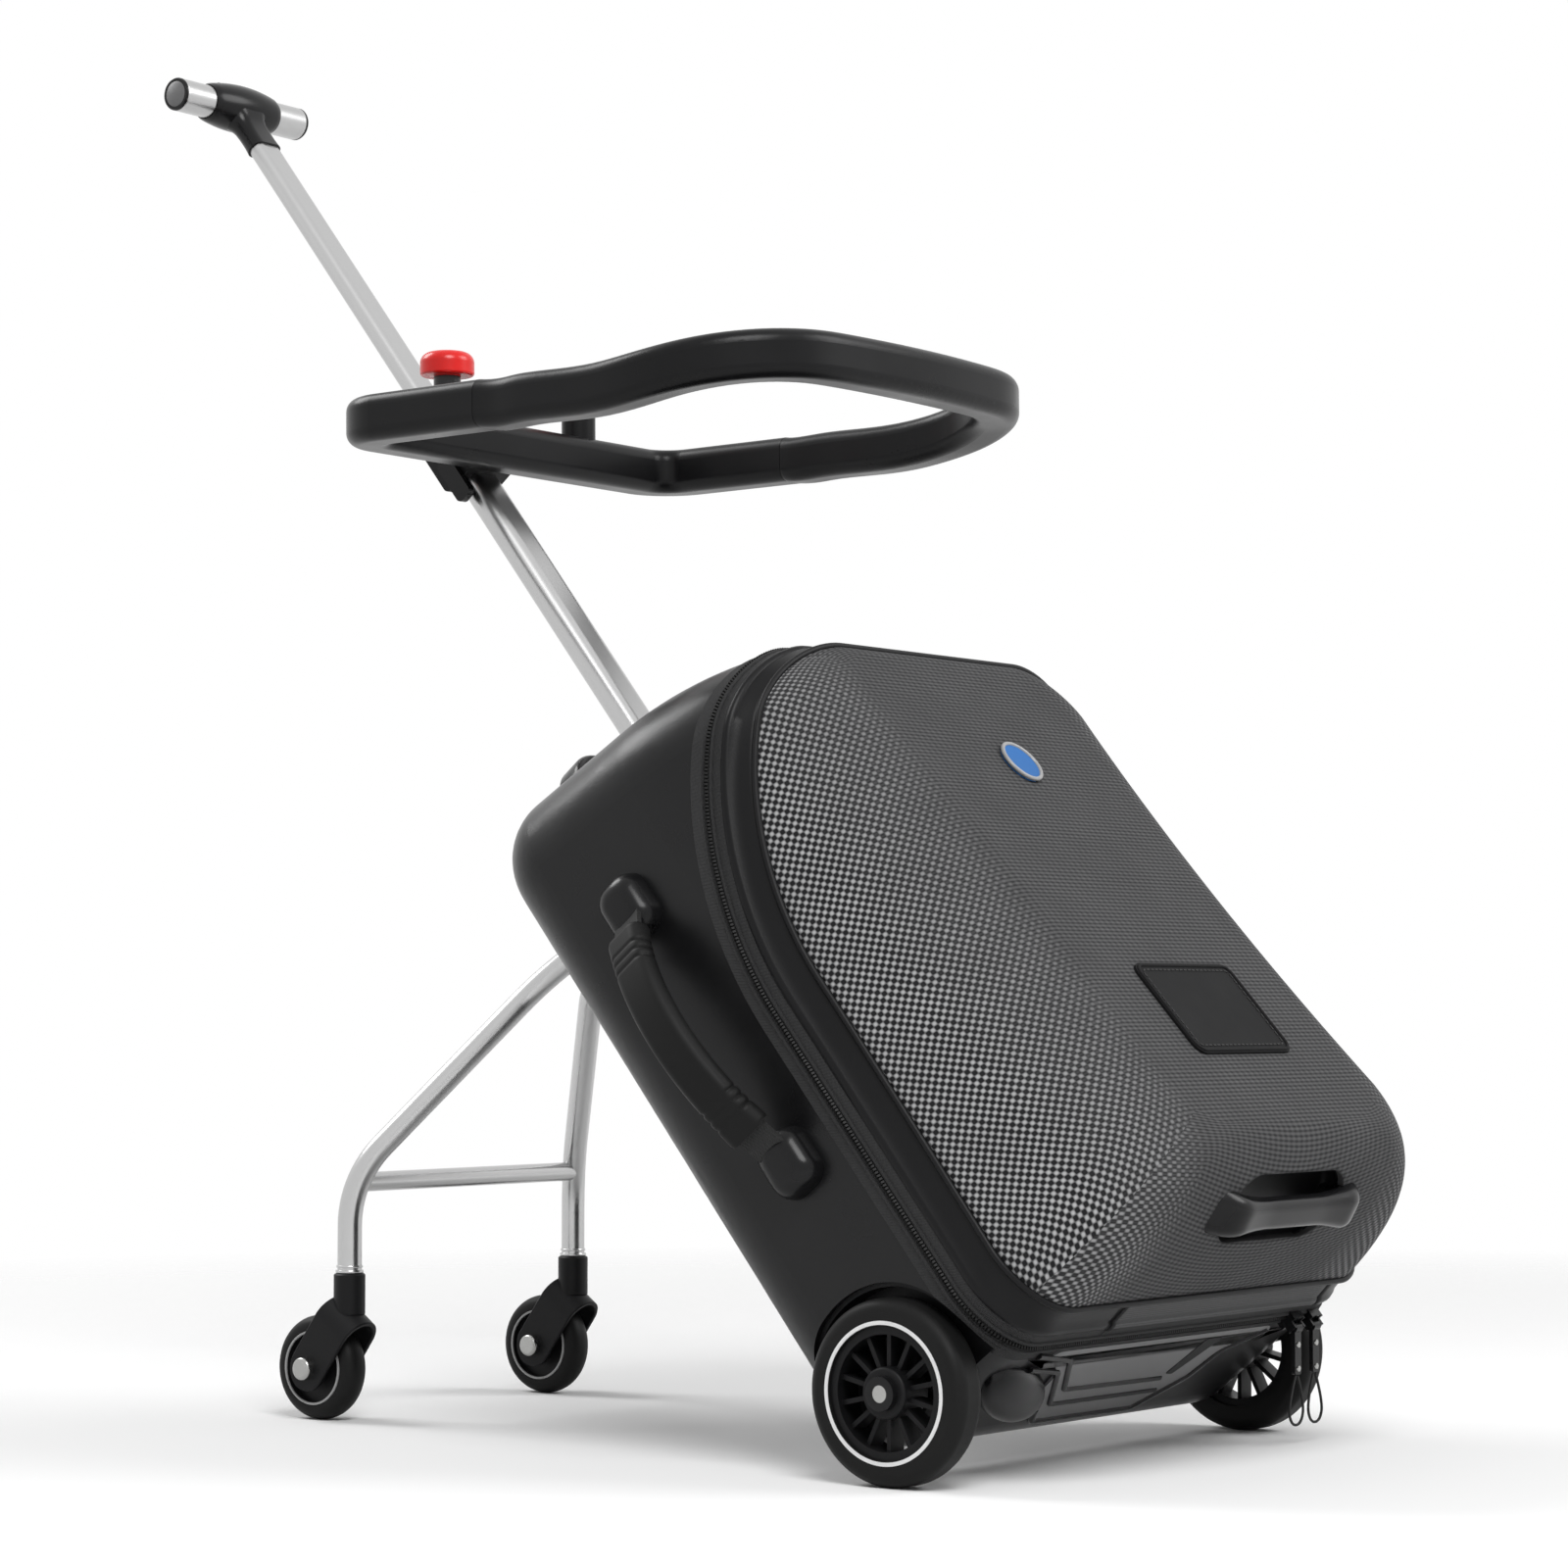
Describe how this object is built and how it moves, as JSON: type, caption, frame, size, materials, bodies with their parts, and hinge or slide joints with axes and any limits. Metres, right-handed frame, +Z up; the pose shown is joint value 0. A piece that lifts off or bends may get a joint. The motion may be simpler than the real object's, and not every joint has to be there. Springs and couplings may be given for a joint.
{
  "type": "ride-on suitcase",
  "caption": "Leaning hard-shell ride-on suitcase with big front wheels, folding caster legs, telescopic pole with cross handle, and a guard ring for a child rider.",
  "frame": {"origin": "on the floor, below the middle of the big-wheel axle", "axes": "+X to the rider's right, +Y to the back, towards the casters, +Z up from the floor"},
  "size_m": [0.4285, 0.8328, 0.8786],
  "materials": {
    "shell": "satin moulded shell",
    "rim": "satin moulded band",
    "weave": "woven carbon-look skin",
    "zip": "woven zip tape",
    "zip_metal": "black lacquer",
    "plastic": "moulded",
    "gloss": "smooth moulded",
    "guard": "satin moulded",
    "grip": "soft-touch grip",
    "strap": "woven",
    "tube": "satin anodised",
    "steel": "turned",
    "tyre": "smooth tread",
    "button": "glossy",
    "label": "embossed patch",
    "badge": "lacquered disc"
  },
  "bodies": {
    "case": {"back_shell": "shell", "shell_zip_tape": "zip", "arch_liner_left": "plastic", "arch_liner_right": "plastic", "wheel_axle_left": "steel", "wheel_axle_right": "steel", "base_plate": "plastic", "pole_housing": "plastic", "pole_collar": "plastic", "leg_bracket": "plastic", "leg_pin": "steel", "side_handle_grip": "grip", "side_mount_upper": "plastic", "side_mount_lower": "plastic", "side_handle_strap": "strap", "top_handle": "plastic"},
    "lid": {"lid_rim": "rim", "lid_shell": "weave", "lid_zip_tape": "zip", "front_handle": "plastic", "lid_label": "label", "lid_badge": "badge"},
    "wheel_left": {"wheel_tyre_left": "tyre", "wheel_hub_left": "plastic"},
    "wheel_right": {"wheel_tyre_right": "tyre", "wheel_hub_right": "plastic"},
    "legs": {"leg_tube_left": "tube", "leg_tube_right": "tube", "leg_bush_left": "plastic", "leg_bush_right": "plastic", "leg_cross_tube": "tube", "leg_hinge_block": "plastic"},
    "caster_left": {"caster_fork_left": "plastic", "caster_bolt_left": "steel"},
    "caster_left_wheel": {"caster_tyre_left": "tyre", "caster_hub_left": "plastic"},
    "caster_right": {"caster_fork_right": "plastic", "caster_bolt_right": "steel"},
    "caster_right_wheel": {"caster_tyre_right": "tyre", "caster_hub_right": "plastic"},
    "pole": {"pole_lower": "tube", "guard_back": "guard", "guard_clamp": "plastic"},
    "handle": {"pole_upper": "tube", "tee_bar": "tube", "tee_body": "gloss"},
    "trigger": {"handle_trigger": "plastic"},
    "guard_front": {"guard_front": "guard"},
    "button_left": {"guard_button_left": "button"},
    "button_right": {"guard_button_right": "button"},
    "lever": {"clamp_lever": "plastic"},
    "slider_a": {"zip_slider_a": "zip_metal"},
    "slider_b": {"zip_slider_b": "zip_metal"},
    "pull_a": {"zip_pull_a": "plastic", "pull_cord_a": "strap"},
    "pull_b": {"zip_pull_b": "plastic", "pull_cord_b": "strap"}
  },
  "joints": [
    {"name": "lid_open", "type": "hinge", "parent": "case", "child": "lid", "pos_m": [0.1866, 0.01278, 0.16804], "axis": [0, 0.6266, 0.7793], "range_deg": [0, 110]},
    {"name": "wheel_left_spin", "type": "hinge", "parent": "case", "child": "wheel_left", "pos_m": [-0.1821, 0, 0.05], "axis": [1, 0, 0], "continuous": true},
    {"name": "wheel_right_spin", "type": "hinge", "parent": "case", "child": "wheel_right", "pos_m": [0.1821, 0, 0.05], "axis": [1, 0, 0], "continuous": true},
    {"name": "leg_fold", "type": "hinge", "parent": "case", "child": "legs", "pos_m": [0, 0.30364, 0.31913], "axis": [-1, 0, 0], "range_deg": [0, 50]},
    {"name": "caster_left_swivel", "type": "hinge", "parent": "legs", "child": "caster_left", "pos_m": [-0.107, 0.463, 0.09], "axis": [0, 0, 1], "continuous": true},
    {"name": "caster_right_swivel", "type": "hinge", "parent": "legs", "child": "caster_right", "pos_m": [0.107, 0.463, 0.09], "axis": [0, 0, 1], "continuous": true},
    {"name": "caster_left_spin", "type": "hinge", "parent": "caster_left", "child": "caster_left_wheel", "pos_m": [-0.107, 0.4854, 0.032], "axis": [1, 0, 0], "continuous": true},
    {"name": "caster_right_spin", "type": "hinge", "parent": "caster_right", "child": "caster_right_wheel", "pos_m": [0.107, 0.4854, 0.032], "axis": [1, 0, 0], "continuous": true},
    {"name": "pole_slide", "type": "slide", "parent": "case", "child": "pole", "axis": [0, 0.6266, 0.7793], "range_m": [-0.15, 0]},
    {"name": "handle_slide", "type": "slide", "parent": "pole", "child": "handle", "axis": [0, 0.6266, 0.7793], "range_m": [-0.235, 0]},
    {"name": "trigger_press", "type": "slide", "parent": "handle", "child": "trigger", "axis": [0, -0.6266, -0.7793], "range_m": [0, 0.0025], "stiffness_N_per_m": 600},
    {"name": "guard_slide", "type": "slide", "parent": "pole", "child": "guard_front", "axis": [0, -0.9999, 0.0105], "range_m": [0, 0.05]},
    {"name": "button_left_press", "type": "slide", "parent": "pole", "child": "button_left", "axis": [0, -0.0105, -0.9999], "range_m": [0, 0.006], "stiffness_N_per_m": 500},
    {"name": "button_right_press", "type": "slide", "parent": "pole", "child": "button_right", "axis": [0, -0.0105, -0.9999], "range_m": [0, 0.006], "stiffness_N_per_m": 500},
    {"name": "lever_turn", "type": "hinge", "parent": "pole", "child": "lever", "pos_m": [-0.022, 0.45987, 0.59642], "axis": [1, 0, 0], "range_deg": [0, 75]},
    {"name": "zip_a_slide", "type": "slide", "parent": "case", "child": "slider_a", "axis": [-1, 0, 0], "range_m": [0, 0.2]},
    {"name": "zip_b_slide", "type": "slide", "parent": "case", "child": "slider_b", "axis": [-1, 0, 0], "range_m": [0, 0.2]},
    {"name": "pull_a_swing", "type": "hinge", "parent": "slider_a", "child": "pull_a", "pos_m": [0.125, -0.06805, 0.0675], "axis": [1, 0, 0], "range_deg": [-50, 25]},
    {"name": "pull_b_swing", "type": "hinge", "parent": "slider_b", "child": "pull_b", "pos_m": [0.146, -0.06805, 0.0675], "axis": [1, 0, 0], "range_deg": [-50, 25]}
  ],
  "couplings": [
    {"joint": "zip_b_slide", "follows": "zip_a_slide", "ratio": 1}
  ]
}
